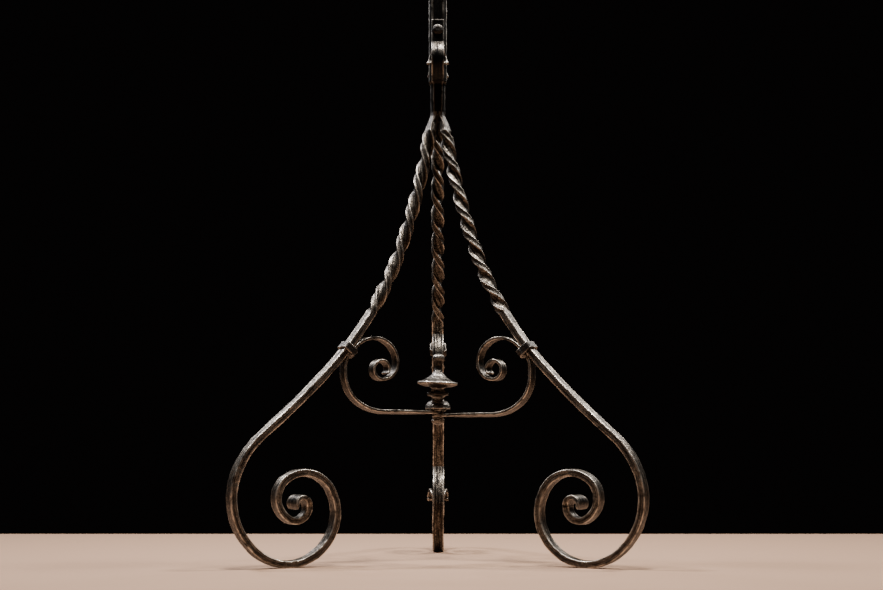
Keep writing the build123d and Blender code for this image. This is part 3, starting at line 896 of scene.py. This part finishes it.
def build_bracket(name, azimuth, seed):
    """One scroll bracket: straight tail on the stem, volute and flared tip."""
    rng = np.random.default_rng(seed)
    pose = (STEM_SIDE / 2 + BRACKET_T / 2, BRACKET_TOP, DOWN)
    poses, where = trail(pose, ((0.0, BRACKET_TAIL),) + VOLUTE, 1.0)
    total = where[-1]
    roll = length_of(VOLUTE_END)
    bar = Sweep()
    for p, d in zip(poses, where):
        ring = rect_ring(BRACKET_W, BRACKET_T, 1.0)
        bar.add(place_ring(p, ring), d, ring)
    for i in range(1, VOLUTE_END_RINGS + 1):
        u = i / VOLUTE_END_RINGS
        t = BRACKET_T - 3.2 * u
        ring = rect_ring(BRACKET_W + 10.0 * u * u, t, min(1.0, 0.4 * t))
        bar.add(place_ring(advance(poses[-1], VOLUTE_END, u), ring), total + roll * u, ring)
    obj = bar.make("bracket_" + name, rng, 260, 0.26, ((3.0, 6.5), (2.2, 4.6)), azimuth,
                   evenly(0.15), head=(0.0, 0.0, 1.0),
                   tail=heading_of(advance(poses[-1], VOLUTE_END)))
    finish_piece(obj, "scroll_" + name, "stem_iron")


def build_rivet():
    """One rivet with a domed head on each bracket."""
    grip = (STEM_SIDE + 2 * BRACKET_T) / 2
    r, end = RIVET_SHANK_R, grip + RIVET_HEAD

    def crosswise(points):
        return np.stack([points[:, 0], points[:, 2],
                         BRACKET_TOP - RIVET_DROP - points[:, 1]], axis=1)

    lathe("through_rivet", "scroll_rivet", "collar_iron", profile([
        ((0.0, -end), (1.2, -end)),
        ((1.2, -end), (4.2, -grip - 1.8), (5.5, -grip - 0.05)),
        ((5.5, -grip - 0.05), (5.3, -grip + 0.35)),
        ((5.3, -grip + 0.35), (r, -grip + 0.4)),
        ((r, -grip + 0.4), (r, grip - 0.4)),
        ((r, grip - 0.4), (5.3, grip - 0.35)),
        ((5.3, grip - 0.35), (5.5, grip + 0.05)),
        ((5.5, grip + 0.05), (4.2, grip + 1.8), (1.2, end)),
        ((1.2, end), (0.0, end)),
    ]), 0.15, 31, rounds=48, place=crosswise)


for i, (side_name, turn_deg) in enumerate(AZIMUTH.items()):
    build_leg(side_name, turn_deg, 101 + i)
    build_brace(side_name, turn_deg, 201 + i)
    build_collar(side_name, turn_deg, 301 + i)
build_hub()
build_stem()
build_bracket("front", -90.0, 401)
build_bracket("back", 90.0, 402)
build_rivet()


# ------------------------------------------------------------ floor, light, camera
def plain(name, colour, rough):
    mat = bpy.data.materials.new(name)
    mat.use_nodes = True
    bsdf = mat.node_tree.nodes["Principled BSDF"]
    bsdf.inputs["Base Color"].default_value = (*colour, 1.0)
    bsdf.inputs["Roughness"].default_value = rough
    return mat


def slab(name, x0, x1, y0, y1, mat):
    """Flat floor, which is part of the stage and not of the object."""
    mesh = bpy.data.meshes.new(name)
    mesh.from_pydata([(x0, y0, 0), (x1, y0, 0), (x1, y1, 0), (x0, y1, 0)], [], [(0, 1, 2, 3)])
    obj = bpy.data.objects.new(name, mesh)
    bpy.context.scene.collection.objects.link(obj)
    mesh.materials.append(mat)


slab("floor", -3.0, 3.0, -3.0, 0.49, plain("floor_pale", (0.37, 0.226, 0.144), 0.85))

world = bpy.data.worlds.new("studio")
bpy.context.scene.world = world
world.use_nodes = True
background = world.node_tree.nodes["Background"]
background.inputs["Color"].default_value = (0.005, 0.004, 0.004, 1.0)
background.inputs["Strength"].default_value = 0.4


BEAM = 100.0
WARM_WHITE, COOL_WHITE = (1.0, 0.96, 0.92), (0.98, 0.97, 1.0)


def softbox(name, place, aim, size, power, colour=WARM_WHITE):
    """Area light at place, turned towards aim."""
    data = bpy.data.lights.new(name, "AREA")
    data.shape = "RECTANGLE"
    data.size, data.size_y = size
    data.energy = power
    data.color = colour
    data.spread = math.radians(BEAM)
    obj = bpy.data.objects.new(name, data)
    obj.location = place
    obj.rotation_euler = (Vector(aim) - Vector(place)).to_track_quat("-Z", "Y").to_euler()
    bpy.context.scene.collection.objects.link(obj)


softbox("overhead", (0.0, -0.6, 2.1), (0, 0.05, 0.1), (0.4, 0.25), 15.5)
softbox("top_left", (-1.0, 0.1, 2.0), (0, 0.0, 0.2), (0.25, 0.3), 14, COOL_WHITE)
softbox("top_right", (1.0, 0.1, 2.0), (0, 0.0, 0.2), (0.25, 0.3), 13)
softbox("back_left", (-1.1, 1.15, 1.3), (0, -0.05, 0.2), (0.35, 0.3), 3.2, COOL_WHITE)
softbox("back_right", (1.1, 1.15, 1.3), (0, -0.05, 0.2), (0.35, 0.3), 2.8)

# The camera is level, near the floor, and its shift lifts the view without tilting it.
CAMERA_X, CAMERA_BACK, CAMERA_Z = 0.0039, 1.671, 0.119
SENSOR, FOCAL_LENGTH, SHIFT_UP = 36.0, 64.54, 0.174405

lens = bpy.data.cameras.new("camera")
lens.sensor_width = SENSOR
lens.sensor_fit = "HORIZONTAL"
lens.lens = FOCAL_LENGTH
lens.shift_y = SHIFT_UP
lens.clip_end = 50
camera = bpy.data.objects.new("camera", lens)
camera.location = (CAMERA_X, AXIS_Y * MM - CAMERA_BACK, CAMERA_Z)
camera.rotation_euler = (math.radians(90), 0, 0)
bpy.context.scene.collection.objects.link(camera)
bpy.context.scene.camera = camera
